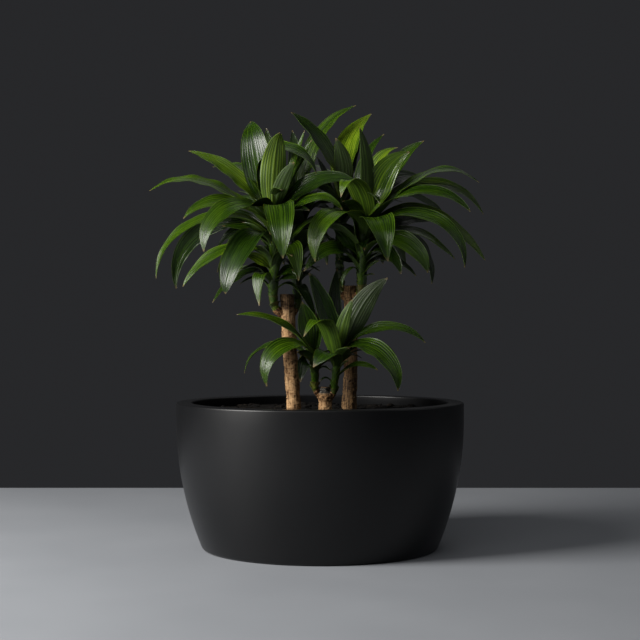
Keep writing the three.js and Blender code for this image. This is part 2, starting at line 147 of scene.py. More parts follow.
# Feet of leaves. A reach is the degrees that a foot goes round the stem to each side, at its lower and
# at its upper end.
SHEATH_LENGTH = 24
SHEATH_REACH = (168, 58)
SHEATH_FLARE = 3.4
SHEATH_ABOVE_ROOT = 5
STUB_SHARE = 0.3
STUB_LENGTH = 15
STUB_REACH = (150, 40)
SCAR_LENGTH = 11
SCAR_REACH = (176, 100)
CLASP_ROWS = 9
CLASP_COLUMNS = 13
CLASP_OFF_STEM = 0.35
CLASP_THICKNESS = 0.6

# Short leaves deep in a crown
INNER_SPACING = 11
INNER_BELOW_TOP = 5
USUAL_STEM_RADIUS = 7.5

GOLDEN_ANGLE = math.radians(137.5)
ANY_ANGLE = 6.3  # about a full turn, for random angles
ANY_SEED = 50  # how far apart the noise of two leaves may lie

# Colours that are mixed in
LEAF_EDGE = (0.11, 0.19, 0.02, 1)
LEAF_BACK = (0.045, 0.080, 0.006, 1)
LEAF_DRY = (0.17, 0.12, 0.055, 1)
STEM_FOOT = (0.085, 0.040, 0.012, 1)
# Dark of cracks, partly the bark's own colour, partly painted shade in recesses
BARK_CRACK_AND_SHADE = (0.028, 0.012, 0.005, 1)
# Old dark bark, and painted shade and painted shadow on the canes
BARK_STAIN_AND_SHADE = (0.012, 0.007, 0.004, 1)
BOWL_DUST = (0.022, 0.022, 0.023, 1)

# Each cane: the middles of its rings from its foot in the soil to its cut, and its radius at each.
CANES = {
    "cane_left": {
        "axis": ((-51, 0, 140), (-55, 0, 300), (-61, 0, 387), (-67, 0, 475), (-69, 0, 529)),
        "radii": (14.2, 14.8, 14.8, 15.3, 15),
    },
    "cane_right": {
        "axis": ((59, 25, 140), (61, 25, 300), (64, 25, 357), (64, 25, 500), (64, 25, 547)),
        "radii": (15.5, 15.5, 14.6, 14.6, 14),
    },
    "cane_middle": {
        "axis": (
            (10, -50, 140), (11, -50, 304), (12, -50, 312),
            (12, -50, 321), (10, -50, 326), (10, -50, 335),
        ),
        "radii": (13, 13.5, 18, 18, 11.5, 11),
    },
}

# Each shoot: the cane it grows from, the length of callus at its foot, and the radius and points of its
# stem.
SHOOTS = {
    "shoot_left_front": {
        "cane": "cane_left", "callus": 29, "radius": 7.5,
        "stem": (
            (-70, 0, 482), (-93, -8, 500), (-98, -14, 534),
            (-95, -20, 592), (-97, -24, 660), (-99, -26, 715),
        ),
    },
    "shoot_left_back": {
        "cane": "cane_left", "callus": 27, "radius": 6.5,
        "stem": ((-67, 0, 482), (-50, 20, 500), (-48, 30, 545), (-42, 46, 620), (-38, 60, 690)),
    },
    "shoot_right_front": {
        "cane": "cane_right", "callus": 27, "radius": 8,
        "stem": ((66, 25, 514), (84, 8, 532), (87, 2, 563), (87, -4, 600), (90, -6, 650), (93, -6, 705)),
    },
    "shoot_right_back": {
        "cane": "cane_right", "callus": 27, "radius": 7,
        "stem": ((62, 25, 514), (46, 43, 534), (42, 52, 575), (42, 60, 640), (47, 66, 750)),
    },
    "shoot_middle_left": {
        "cane": "cane_middle", "callus": 22, "radius": 5.5,
        "stem": ((6, -50, 313), (-8, -53, 327), (-10, -56, 357), (-14, -58, 395), (-15, -60, 412)),
    },
    "shoot_middle_right": {
        "cane": "cane_middle", "callus": 20, "radius": 5.5,
        "stem": ((14, -50, 309), (29, -56, 324), (31, -58, 350), (35, -60, 382), (41, -62, 412)),
    },
}

# Leaves of each shoot. A leaf is the height of its root, its greatest width, the degrees it turns about
# its own length, its tone from dark to lime, and the points that its midrib runs through, the last of
# them its tip. A tone is partly the leaf's own colour and partly painted light: lower for leaves that lie
# in shade, and limer for leaves lit through from behind.
LEAVES = {}
LEAVES["shoot_left_front"] = (
    (662, 38, -42, 0.70, (-162, 4, 765), (-210, 12, 803), (-275, 22, 829)),
    (655, 44, -25, 0.58, (-205, -24, 748), (-272, -30, 769), (-357, -32, 745)),
    (690, 42, -20, 0.45, (-150, 35, 785), (-224, 100, 795)),
    (645, 46, -40, 0.52, (-190, -26, 722), (-245, -38, 717), (-286, -50, 687)),
    (636, 54, -30, 0.46, (-150, -62, 718), (-210, -98, 699), (-243, -120, 618)),
    (638, 44, -31, 0.55, (-200, -4, 692), (-285, -8, 666), (-343, -10, 562)),
    (630, 44, -125, 0.40, (-200, 26, 687), (-262, 42, 654), (-301, 50, 541)),
    (590, 38, -38, 0.54, (-172, -18, 627), (-240, -24, 600), (-287, -26, 545)),
    (618, 60, -22, 0.34, (-126, -54, 658), (-165, -98, 628), (-198, -122, 530)),
    (575, 42, -35, 0.50, (-150, -14, 622), (-180, -26, 590), (-197, -34, 530)),
    (560, 44, -40, 0.42, (-147, 14, 575), (-225, 26, 511)),
    (545, 34, 0, 0.50, (-120, -38, 571), (-127, -58, 505)),
    (528, 20, -20, 0.42, (-132, -12, 563), (-168, -14, 550)),
    (690, 66, -48, 0.38, (-128, 12, 790), (-141, 24, 860), (-146, 66, 890)),
    (690, 54, -2, 0.72, (-98, -50, 780), (-90, -64, 846), (-84, -90, 867)),
    (700, 40, 0, 0.55, (-104, 50, 805), (-112, 80, 876)),
    (690, 46, 35, 0.46, (-88, -8, 836), (-54, -26, 832), (-8, -44, 781)),
    (690, 32, -46, 0.30, (-78, -66, 765), (-54, -100, 806)),
    (695, 28, 10, 0.55, (-62, -8, 785), (-32, -4, 872)),
    (695, 28, 10, 0.50, (-56, 12, 780), (-17, 20, 852)),
    (640, 56, 45, 0.34, (-50, -20, 740), (22, -34, 773), (75, -44, 766)),
    (625, 42, 35, 0.50, (-55, -46, 708), (0, -62, 732), (47, -72, 706)),
    (650, 62, 14, 0.46, (-88, -76, 716), (-84, -124, 700), (-78, -150, 604)),
    (580, 46, 14, 0.55, (-66, -58, 632), (-45, -84, 557)),
    (590, 32, 30, 0.50, (-60, -30, 645), (-30, -36, 676), (15, -44, 690)),
    (625, 38, -10, 0.28, (-150, 60, 672), (-212, 120, 671)),
    (600, 42, 0, 0.28, (-150, 85, 660), (-215, 165, 575)),
    (615, 44, 0, 0.36, (-108, 100, 695), (-122, 195, 640)),
    (650, 44, -20, 0.36, (-165, 85, 728), (-225, 150, 690)),
    (665, 44, 0, 0.36, (-90, 90, 775), (-84, 180, 790)),
    (575, 36, 0, 0.34, (-92, 70, 612), (-98, 140, 560)),
    (545, 34, 45, 0.40, (-66, -24, 579), (-48, -36, 566)),
)
LEAVES["shoot_left_back"] = (
    (680, 38, 28, 0.52, (-22, 84, 820), (5, 98, 872), (75, 116, 924)),
    (560, 20, 0, 0.25, (-35, 10, 588), (0, 0, 577)),
    (550, 26, 0, 0.25, (-25, 36, 570), (5, 40, 540)),
    (525, 26, 0, 0.22, (-45, -14, 548), (-7, -22, 478)),
    (600, 40, 0, 0.30, (-10, 110, 660), (15, 190, 590)),
    (640, 42, 0, 0.30, (-60, 130, 725), (-78, 215, 700)),
    (655, 42, 0, 0.32, (0, 120, 755), (40, 210, 735)),
    (675, 42, 0, 0.34, (-48, 100, 790), (-58, 135, 872)),
    (610, 36, 0, 0.30, (-72, 100, 650), (-75, 170, 590)),
)
LEAVES["shoot_right_front"] = (
    (690, 34, 34, 0.36, (100, -40, 800), (83, -50, 878)),
    (690, 26, 0, 0.38, (98, 34, 818), (134, 60, 864)),
    (685, 36, 35, 0.74, (112, 6, 790), (128, 10, 818), (163, 16, 836)),
    (660, 58, 112, 0.64, (118, -22, 745), (145, -30, 797), (188, -40, 827)),
    (665, 48, 40, 0.46, (140, 8, 770), (180, 14, 823), (218, 20, 850)),
    (660, 50, 0, 0.64, (78, -52, 752), (60, -80, 768), (44, -96, 733)),
    (620, 62, -10, 0.56, (54, -54, 702), (18, -90, 691), (-10, -106, 597)),
    (570, 40, -45, 0.40, (35, -26, 625), (-34, -48, 577)),
    (588, 46, -72, 0.34, (62, 8, 650), (20, 12, 676)),
    (632, 64, 8, 0.44, (112, -64, 688), (124, -112, 684), (142, -138, 598)),
    (660, 46, 22, 0.44, (178, -12, 751), (245, -20, 787), (333, -26, 763)),
    (655, 42, 42, 0.60, (200, 16, 755), (275, 24, 754), (342, 30, 696)),
    (650, 42, 34, 0.40, (187, -42, 742), (260, -60, 740), (315, -76, 702)),
    (690, 50, 45, 0.26, (150, 54, 772), (215, 104, 772)),
    (630, 36, 42, 0.44, (188, -34, 699), (256, -50, 680), (303, -58, 585)),
    (635, 44, 46, 0.66, (198, 8, 706), (275, 12, 673), (346, 14, 600)),
    (620, 42, 34, 0.26, (175, 50, 682), (228, 96, 681)),
    (600, 50, 42, 0.44, (165, -44, 644), (200, -60, 622), (226, -68, 574)),
    (595, 46, 50, 0.28, (178, 26, 655), (215, 38, 622), (234, 42, 550)),
    (605, 38, 28, 0.60, (190, -2, 662), (240, -8, 640), (283, -10, 602)),
    (570, 32, 45, 0.46, (138, -20, 622), (158, -30, 600), (170, -34, 572)),
    (565, 32, 34, 0.50, (135, 8, 604), (172, 14, 593), (201, 18, 567)),
    (610, 42, 0, 0.34, (135, 75, 665), (180, 150, 585)),
    (640, 44, 0, 0.36, (180, 80, 735), (265, 150, 690)),
    (665, 44, 0, 0.36, (128, 80, 765), (170, 160, 770)),
    (680, 42, 0, 0.34, (118, 60, 785), (142, 110, 822)),
    (585, 38, 0, 0.32, (112, 70, 622), (132, 140, 592)),
    (590, 38, -60, 0.36, (76, -14, 660), (66, -22, 700)),
)
LEAVES["shoot_right_back"] = (
    (725, 42, -60, 0.38, (22, 52, 815), (-18, 48, 874), (-60, 46, 910)),
    (735, 65, 0, 0.80, (58, 100, 843), (74, 122, 874), (108, 140, 907)),
    (730, 40, 0, 0.14, (46, 26, 815), (33, 14, 856)),
    (725, 36, 0, 0.42, (64, 84, 790), (84, 96, 848)),
    (640, 40, -20, 0.30, (10, 66, 700), (-28, 66, 672)),
    (700, 36, 0, 0.30, (14, 84, 775), (-6, 96, 816)),
    (655, 44, 0, 0.30, (42, 140, 745), (36, 225, 690)),
    (690, 44, 0, 0.30, (86, 130, 780), (130, 200, 775)),
    (610, 40, 0, 0.30, (62, 120, 665), (76, 190, 600)),
    (595, 34, -20, 0.28, (20, 56, 640), (-14, 60, 618)),
    (700, 42, 0, 0.24, (0, 150, 790), (-30, 220, 800)),
)
LEAVES["shoot_middle_left"] = (
    (385, 32, -25, 0.60, (-70, -62, 461), (-120, -66, 483), (-175, -68, 486)),
    (380, 33, -15, 0.34, (-92, -44, 424), (-128, -42, 412), (-158, -40, 363)),
    (362, 45, -30, 0.52, (-42, -86, 424), (-86, -114, 416), (-111, -128, 336)),
    (352, 30, -45, 0.30, (-30, -78, 387), (-41, -92, 345)),
    (395, 48, -72, 0.44, (-26, -62, 465), (-38, -58, 513)),
    (370, 32, 0, 0.34, (-20, 15, 425), (-16, 75, 400)),
    (390, 34, 0, 0.34, (-14, 10, 470), (-20, 60, 500)),
)
LEAVES["shoot_middle_right"] = (
    (385, 46, 0, 0.56, (20, -92, 442), (4, -112, 472), (-34, -138, 440)),
    (395, 28, -42, 0.62, (48, -88, 465), (69, -100, 519)),
    (390, 50, -86, 0.08, (70, -64, 470), (98, -68, 520), (142, -72, 563)),
    (395, 36, 25, 0.22, (28, -26, 490), (36, -10, 583)),
    (395, 43, -40, 0.20, (10, -46, 500), (-23, -36, 573)),
    (385, 29, 42, 0.42, (90, -60, 448), (155, -64, 461), (221, -66, 427)),
    (375, 46, 35, 0.46, (82, -88, 424), (128, -112, 406), (163, -126, 327)),
    (385, 32, 0, 0.24, (120, -36, 430), (172, -30, 361)),
    (355, 24, 25, 0.54, (88, -72, 382), (121, -78, 370)),
    (370, 20, 0, 0.24, (75, -48, 410), (102, -44, 412)),
    (370, 54, -12, 0.34, (16, -100, 406), (-14, -118, 376)),
    (390, 32, 0, 0.32, (34, 0, 462), (26, 55, 478)),
)

# Small low leaves that only this finer model has, in the same terms as LEAVES.
SMALL_LEAVES = {
    "shoot_left_front": (
        (570, 24, -75, 0.85, (-130, -22, 604), (-159, -30, 612)),
        (652, 24, -35, 0.42, (-157, -24, 668), (-205, -34, 672)),
        (622, 40, -40, 0.34, (-187, 22, 655), (-222, 28, 610)),
        (548, 26, 40, 0.42, (-70, -30, 566), (-44, -44, 562)),
        (535, 12, 30, 0.60, (-66, -24, 552), (-40, -32, 528)),
    ),
    "shoot_right_front": (
        (568, 10, -30, 0.46, (66, -14, 584), (55, -18, 575), (48, -20, 543)),
        (586, 26, -40, 0.22, (62, 2, 601), (38, 4, 602)),
        (558, 14, 30, 0.50, (103, -14, 585), (124, -18, 599)),
        (580, 16, 30, 0.24, (104, -6, 604), (122, -10, 616)),
        (556, 10, 20, 0.30, (105, -10, 571), (114, -12, 570)),
    ),
    "shoot_middle_left": (
        (366, 9, 20, 0.24, (10, -66, 377), (23, -70, 368)),
    ),
    "shoot_middle_right": (
        (344, 7, -20, 0.18, (10, -62, 354), (0, -66, 346)),
        (366, 10, 30, 0.34, (50, -70, 384), (62, -74, 392)),
    ),
}


# ---- Points and curves ----

def place(point):
    x, y, z = point
    scale = (EYE_DISTANCE + y) / EYE_DISTANCE
    return np.array((x * scale, y, EYE_HEIGHT + (z - EYE_HEIGHT) * scale), dtype=float)


def place_all(points):
    return np.array([place(point) for point in points])


def unit(vectors):
    return vectors / np.linalg.norm(vectors, axis=-1, keepdims=True)


def lerp(a, b, share):
    return a + (b - a) * share


def smoothstep(low, high, value):
    share = np.clip((value - low) / (high - low), 0, 1)
    return share * share * (3 - 2 * share)


def along_midrib(points, t):
    """The smooth curve through a midrib's three or four points, at each t from 0 to 1."""
    lengths = np.linalg.norm(np.diff(points, axis=0), axis=1)
    knots = np.concatenate(([0.0], np.cumsum(lengths) / lengths.sum()))
    result = np.zeros((len(t), 3))
    for i, point in enumerate(points):
        weight = np.ones(len(t))
        for j, knot in enumerate(knots):
            if j != i:
                weight *= (t - knot) / (knots[i] - knot)
        result += weight[:, None] * point
    return result


def stem_curve(points):
    """Points all along a centripetal Catmull-Rom curve, with the length up to each."""
    ends = np.vstack((2 * points[0] - points[1], points, 2 * points[-1] - points[-2]))
    path = []
    for a, b, c, d in zip(ends, ends[1:], ends[2:], ends[3:]):
        steps = [0.0]
        for start, end in ((a, b), (b, c), (c, d)):
            steps.append(steps[-1] + math.sqrt(np.linalg.norm(end - start)))
        t = np.linspace(steps[1], steps[2], CURVE_SAMPLES, endpoint=False)[:, None]
        first = lerp(a, b, (t - steps[0]) / (steps[1] - steps[0]))
        second = lerp(b, c, (t - steps[1]) / (steps[2] - steps[1]))
        third = lerp(c, d, (t - steps[2]) / (steps[3] - steps[2]))
        early = lerp(first, second, (t - steps[0]) / (steps[2] - steps[0]))
        late = lerp(second, third, (t - steps[1]) / (steps[3] - steps[1]))
        path.append(lerp(early, late, (t - steps[1]) / (steps[2] - steps[1])))
    path = np.vstack(path + [points[-1:]])
    lengths = np.concatenate(([0.0], np.cumsum(np.linalg.norm(np.diff(path, axis=0), axis=1))))
    return path, lengths


def at_length(path, lengths, wanted):
    return np.stack([np.interp(wanted, lengths, path[:, k]) for k in range(3)], axis=-1)


def at_height(path, height):
    return at_length(path, path[:, 2], height)


def level_way(angle):
    return np.array((math.cos(angle), math.sin(angle), 0.0))


def ripples(rng, count, turns, length):
    """A seeded surface noise for a round piece, as a sum of waves.

    Each closes round the piece up to so many times, and along the piece none is shorter than length.
    """
    around = rng.integers(0, turns + 1, count)
    along = rng.uniform(-1, 1, count) * 2 * math.pi / length
    phase = rng.uniform(0, 2 * math.pi, count)
    strength = rng.uniform(0.4, 1, count)

    def height(angle, z):
        total = sum(
            s * np.sin(n * angle + m * z + p) for n, m, p, s in zip(around, along, phase, strength)
        )
        return total / math.sqrt(count)

    return height


# ---- Mesh building ----

def add_object(name, data):
    thing = bpy.data.objects.new(name, data)
    bpy.context.scene.collection.objects.link(thing)
    return thing


class Shells:
    """Closed shells of one piece, with named values at their points."""

    def __init__(self, *names):
        self.names = names
        self.points = []
        self.values = {name: [] for name in names}
        self.faces = []
        self.slots = []
        self.count = 0

    def add(self, rings, slot=0, thin=False, **values):
        """rings is rows of closed rings of points. A thin shell is capped across its two faces."""
        rows, columns = rings.shape[:2]
        start = self.count
        index = start + np.arange(rows * columns).reshape(rows, columns)
        after = np.roll(index, -1, axis=1)
        quads = np.stack((index[:-1], after[:-1], after[1:], index[1:]), axis=-1).reshape(-1, 4)
        faces = quads.tolist()
        if thin:
            half = columns // 2
            for i in range(half - 1):
                a, b, c, d = i, i + 1, columns - 2 - i, columns - 1 - i
                faces.append([start + d, start + c, start + b, start + a])
                last = start + (rows - 1) * columns
                faces.append([last + a, last + b, last + c, last + d])
        else:
            faces.append(index[0, ::-1].tolist())
            faces.append(index[-1].tolist())
        self.faces += faces
        self.slots += [slot] * len(faces)
        self.points.append(rings.reshape(-1, 3))
        for name in self.names:
            value = np.broadcast_to(values.get(name, 0.0), (rows, columns))
            self.values[name].append(value.reshape(-1))
        self.count += rows * columns

    def piece(self, name, node, slot, materials, sharp=50):
        mesh = bpy.data.meshes.new(name)
        mesh.from_pydata(np.concatenate(self.points) * MM, [], self.faces)
        for value in self.names:
            layer = mesh.attributes.new(value, "FLOAT", "POINT")
            layer.data.foreach_set("value", np.concatenate(self.values[value]).astype(np.float32))
        for material in materials:
            mesh.materials.append(material)
        mesh.polygons.foreach_set("material_index", self.slots)
        mesh.polygons.foreach_set("use_smooth", [True] * len(mesh.polygons))
        mesh.update()
        mesh.set_sharp_from_angle(angle=math.radians(sharp))
        piece = add_object(name, mesh)
        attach(piece, "root")
        if node:
            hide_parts(node)


def circle(sides):
    return np.linspace(0, 2 * math.pi, sides, endpoint=False)


def level_rings(middles, radii, sides):
    """Level rings of points about each middle; radii may differ all round."""
    angle = circle(sides)
    round_points = np.stack((np.cos(angle), np.sin(angle), np.zeros(sides)), axis=-1)
    return middles[:, None, :] + np.asarray(radii)[..., None] * round_points[None]


def tube_rings(centres, radii, sides):
    tangents = unit(np.gradient(centres, axis=0))
    across = unit(np.cross(DEPTH, tangents))
    outward = np.cross(tangents, across)
    angle = circle(sides)
    spokes = (
        across[:, None] * np.cos(angle)[None, :, None]
        + outward[:, None] * np.sin(angle)[None, :, None]
    )
    return centres[:, None] + np.asarray(radii)[..., None] * spokes


# ---- Materials ----

class Look:
    """A material under construction. add() makes a node, and sets or links each of its inputs."""

    def __init__(self, name):
        self.material = bpy.data.materials.new(name)
        self.material.use_nodes = True
        self.tree = self.material.node_tree
        self.tree.nodes.clear()

    def add(self, kind, inputs=None, out=0, **settings):
        node = self.tree.nodes.new("ShaderNode" + kind)
        for name, value in settings.items():
            setattr(node, name, value)
        for key, value in (inputs or {}).items():
            if isinstance(value, bpy.types.NodeSocket):
                self.tree.links.new(value, node.inputs[key])
            else:
                node.inputs[key].default_value = value
        return node.outputs[out] if node.outputs else node

    def value(self, name):
        return self.add("Attribute", out=2, attribute_name=name)

    def math(self, operation, a, b=0.0, clamp=False):
        return self.add("Math", {0: a, 1: b}, operation=operation, use_clamp=clamp)

    def plus(self, a, b, clamp=False):
        return self.math("ADD", a, b, clamp)

    def times(self, a, b):
        return self.math("MULTIPLY", a, b)

    def mix(self, share, a, b):
        return self.add("Mix", {0: share, 6: a, 7: b}, out=2, data_type="RGBA")

    def ramp(self, share, *stops):
        socket = self.add("ValToRGB", {0: share})
        ramp = socket.node.color_ramp
        while len(ramp.elements) < len(stops):
            ramp.elements.new(1)
        for element, (position, colour) in zip(ramp.elements, stops):
            element.position = position
            element.color = (*colour, 1)
        return socket

    def span(self, value, low, high, to_low=0.0, to_high=1.0):
        return self.add("MapRange", {0: value, 1: low, 2: high, 3: to_low, 4: to_high})

    def noise(self, where, detail=3.0, roughness=0.55, distortion=0.0):
        kind = {"Scale": 1.0, "Detail": detail, "Roughness": roughness, "Distortion": distortion}
        return self.add("TexNoise", {"Vector": where, **kind})

    def stretched(self, scale):
        """The place on the object, scaled along each axis."""
        where = self.add("TexCoord", out=3)
        return self.add("Mapping", {"Vector": where, "Scale": scale})

    def grain(self, scale, *kind):
        return self.noise(self.stretched(scale), *kind)

    def finish(self, relief, distance, strength, **inputs):
        named = {key.replace("_", " "): value for key, value in inputs.items()}
        named["Normal"] = self.add("Bump", {"Height": relief, "Distance": distance, "Strength": strength})
        surface = self.add("BsdfPrincipled", named)
        self.add("OutputMaterial", {"Surface": surface})
        return self.material


def leaf_look():
    look = Look("glossy_leaf")
    side = look.value("side")
    along = look.value("along")
    seed = look.value("seed")
    tone = look.value("tone")
    ridge = look.value("ridge")
    off_rib = look.math("ABSOLUTE", side)

    def lines(fineness, shift):
        across = look.times(side, fineness)
        down = look.times(along, 0.006)
        apart = look.plus(seed, shift)
        return look.add("CombineXYZ", {0: across, 1: down, 2: apart})

    broad = look.noise(lines(4.5, 0.0), 2.0)
    fine = look.noise(lines(17.0, 5.0), 3.0, 0.65)
    mottle = look.noise(look.add("CombineXYZ", {0: side, 1: look.times(along, 0.02), 2: seed}))
    # A leaf's tone is partly its own colour and partly painted light.
    level = look.plus(tone, look.span(broad, 0.3, 0.7, -0.12, 0.12))
    # Pleat crests are lighter and pleat valleys darker: partly the leaf's own paler veins, partly painted
    # highlight on the crests and painted shade in the valleys.
    level = look.plus(level, look.times(ridge, 0.18))
    level = look.plus(level, look.span(fine, 0.35, 0.65, -0.12, 0.12))
    level = look.plus(level, look.span(mottle, 0.3, 0.7, -0.07, 0.07))
    level = look.plus(level, look.span(off_rib, 0.015, 0.08, 0.14, 0.0), clamp=True)
    green = look.ramp(
        level,
        (0.0, (0.0010, 0.0048, 0.0002)),
        (0.25, (0.0048, 0.017, 0.0004)),
        (0.5, (0.018, 0.046, 0.0008)),
        (0.75, (0.058, 0.115, 0.0020)),
        (1.0, (0.17, 0.25, 0.009)),
    )
    edge = look.span(off_rib, 0.94, 0.99)
    green = look.mix(look.times(edge, 0.35), green, LEAF_EDGE)
    back = look.value("back")
    green = look.mix(look.times(back, 0.25), green, LEAF_BACK)
    green = look.mix(look.value("dry"), green, LEAF_DRY)
    rough = look.span(fine, 0.3, 0.7, 0.22, 0.34)
    rough = look.plus(rough, look.times(back, 0.2))
    relief = look.plus(look.times(broad, 0.6), look.times(fine, 0.6))
    return look.finish(
        relief, distance=0.0012, strength=0.8, Base_Color=green, Roughness=rough,
        Specular_IOR_Level=0.42, Subsurface_Weight=0.25, Subsurface_Radius=(1.0, 1.0, 0.2),
        Subsurface_Scale=0.0012,
    )


def stem_look():
    look = Look("green_stem")
    along = look.value("along")
    rings = look.add(
        "TexWave", {"Vector": look.stretched((1, 1, 1)), "Scale": 38.0, "Distortion": 2.5, "Detail": 2.0},
        out=1, bands_direction="Z",
    )
    blotch = look.grain((60, 60, 25), 4.0)
    green = look.ramp(
        look.plus(look.times(blotch, 0.7), look.times(rings, 0.3)),
        (0.25, (0.009, 0.018, 0.001)),
        (0.5, (0.034, 0.058, 0.004)),
        (0.75, (0.095, 0.135, 0.013)),
    )
    foot = look.span(along, 0.0, 26.0, 1.0, 0.0)
    green = look.mix(look.times(foot, look.span(blotch, 0.3, 0.6)), green, STEM_FOOT)
    return look.finish(
        look.plus(rings, blotch), distance=0.0008, strength=0.7, Base_Color=green,
        Roughness=look.span(blotch, 0.3, 0.7, 0.42, 0.6), Specular_IOR_Level=0.4,
    )


def bark_look(name, pale, middle, dark, stain_and_shade, fibrous):
    look = Look(name)
    fibres = look.grain((420, 420, 30), 4.0, 0.65)
    patches = look.grain((45, 45, 70), 5.0, 0.6, 0.6)
    specks = look.grain((210, 210, 320), 3.0, 0.7)
    level = look.plus(look.times(fibres, fibrous), look.times(patches, 0.7 - fibrous))
    level = look.plus(level, look.times(specks, 0.3))
    colour = look.ramp(level, (0.43, dark), (0.48, middle), (0.55, pale))
    colour = look.mix(look.times(look.value("raised"), 0.6), colour, (*pale, 1))
    # Sunk bark is darkened: partly the dark of real cracks, partly painted shade in grooves, notches and
    # hollows.
    colour = look.mix(look.times(look.value("sunk"), 0.9), colour, BARK_CRACK_AND_SHADE)
    # Stained bark is darkened: partly old dark bark, partly painted shade and painted shadow.
    stained_and_shaded = look.times(look.value("stained_and_shaded"), look.span(level, 0.44, 0.58, 1.0, 0.62))
    colour = look.mix(look.times(stained_and_shaded, stain_and_shade), colour, BARK_STAIN_AND_SHADE)
    grown = look.ramp(
        specks, (0.38, (0.012, 0.005, 0.002)), (0.5, (0.085, 0.036, 0.011)), (0.64, (0.36, 0.20, 0.085)),
    )
    colour = look.mix(look.value("callus"), colour, grown)
    flake = look.ramp(fibres, (0.35, middle), (0.6, pale))
    colour = look.mix(look.times(look.value("flake"), 0.85), colour, flake)
    wood = look.ramp(
        specks, (0.38, (0.010, 0.009, 0.008)), (0.52, (0.045, 0.040, 0.034)), (0.66, (0.20, 0.18, 0.15)),
    )
    colour = look.mix(look.value("cut"), colour, wood)
    return look.finish(
        level, distance=0.0016, strength=0.9, Base_Color=colour,
        Roughness=look.span(patches, 0.3, 0.7, 0.72, 0.95), Specular_IOR_Level=0.25,
    )


def planter_look():
    look = Look("matte_black_bowl")
    grain = look.grain((900, 900, 900), 2.0, 0.6)
    cloud = look.grain((7, 7, 5), 4.0, 0.5)
    scuffs = look.grain((26, 26, 120), 5.0, 0.7)
    colour = look.ramp(cloud, (0.3, (0.0040, 0.0042, 0.0047)), (0.7, (0.0058, 0.0060, 0.0066)))
    dust = look.times(look.span(scuffs, 0.58, 0.75), 0.08)
    colour = look.mix(dust, colour, BOWL_DUST)
    rough = look.plus(look.span(cloud, 0.3, 0.7, 0.30, 0.34), look.times(grain, 0.06))
    return look.finish(
        look.plus(grain, look.times(cloud, 2.0)), distance=0.00012, strength=0.6, Base_Color=colour,
        Roughness=rough, Specular_IOR_Level=0.32,
    )


def soil_look():
    look = Look("dark_soil_and_shade")
    coarse = look.grain((90, 90, 90), 6.0, 0.7)
    fine = look.grain((520, 520, 520), 4.0, 0.7)
    level = look.plus(look.times(coarse, 0.6), look.times(fine, 0.4))
    level = look.plus(level, look.times(look.value("tint"), 0.16))
    # Dark soil, made darker still as painted shadow of the bowl's rim.
    colour = look.ramp(
        level,
        (0.32, (0.0010, 0.0008, 0.0006)),
        (0.5, (0.0028, 0.0021, 0.0016)),
        (0.68, (0.010, 0.0075, 0.0052)),
    )
    return look.finish(
        look.plus(coarse, fine), distance=0.002, strength=1.0, Base_Color=colour,
        Roughness=look.span(fine, 0.3, 0.7, 0.75, 1.0), Specular_IOR_Level=0.12,
    )


def floor_look():
    look = Look("pale_floor")
    cloud = look.grain((3, 3, 3), 4.0)
    colour = look.ramp(cloud, (0.3, (0.285, 0.300, 0.325)), (0.7, (0.303, 0.318, 0.343)))
    return look.finish(
        look.grain((400, 400, 400), 2.0), distance=0.0002, strength=0.3, Base_Color=colour,
        Roughness=look.span(cloud, 0.3, 0.7, 0.6, 0.7),
    )


# ---- Bowl and soil ----

def bowl_radius_at(height):
    below = np.maximum(0, SIDE_UPRIGHT_FROM - np.asarray(height, dtype=float))
    return BOWL_RADIUS - SIDE_ARC + np.sqrt(SIDE_ARC**2 - below**2)


def cavity_radius_at(height):
    belly = bowl_radius_at(WALL_THICKENS_FROM) - WALL
    rise = (np.asarray(height, dtype=float) - WALL_THICKENS_FROM) / (BOWL_HEIGHT - WALL_THICKENS_FROM)
    leaning = belly + (BOWL_RADIUS - RIM_WIDTH - belly) * rise
    return np.where(rise > 0, leaning, bowl_radius_at(height) - WALL)


def arc(centre_x, centre_y, radius, start, end, steps):
    angle = np.linspace(start, end, steps + 1)
    return np.stack((centre_x + radius * np.cos(angle), centre_y + radius * np.sin(angle)), axis=-1)


def lathe(profile, sides):
    """Rings of a profile of (radius, height) points that starts and ends close to the axis."""
    middles = np.zeros((len(profile), 3))
    middles[:, 2] = profile[:, 1]
    return level_rings(middles, profile[:, :1], sides)


def make_planter():
    side_x = BOWL_RADIUS - SIDE_ARC
    side_y = SIDE_UPRIGHT_FROM
    foot_x = side_x + math.sqrt((SIDE_ARC - FOOT_ROUND) ** 2 - (side_y - FOOT_ROUND) ** 2)
    meet = math.atan2(FOOT_ROUND - side_y, foot_x - side_x)
    rim_x = BOWL_RADIUS - RIM_ROUND
    rim_y = BOWL_HEIGHT - RIM_ROUND
    lip_x = BOWL_RADIUS - RIM_WIDTH + LIP_ROUND
    lip_y = BOWL_HEIGHT - LIP_ROUND
    down = np.linspace(lip_y, BOWL_FLOOR, 24)
    profile = np.vstack((
        ((AXIS_RING, 0.0), (foot_x * 0.5, 0.0), (foot_x * 0.97, 0.0)),
        arc(foot_x, FOOT_ROUND, FOOT_ROUND, -math.pi / 2, meet, steps=8),
        arc(side_x, side_y, SIDE_ARC, meet, 0, steps=40)[1:],
        arc(rim_x, rim_y, RIM_ROUND, 0, math.pi / 2, steps=8),
        arc(lip_x, lip_y, LIP_ROUND, math.pi / 2, math.pi, steps=6),
        np.stack((cavity_radius_at(down), down), axis=-1)[1:],
        ((AXIS_RING, BOWL_FLOOR),),
    ))
    shells = Shells()
    shells.add(lathe(profile, BOWL_SIDES))
    shells.piece("planter_bowl", "planter", "planter", [planter_look()])


def soil_height(x, y):
    slanted = SLANTED_SHARE * np.sin((x + y) / SOIL_WAVE_SLANTED)
    return SOIL_HEIGHT + SOIL_SWELL * (np.sin(x / SOIL_WAVE_X) * np.cos(y / SOIL_WAVE_Y) + slanted)


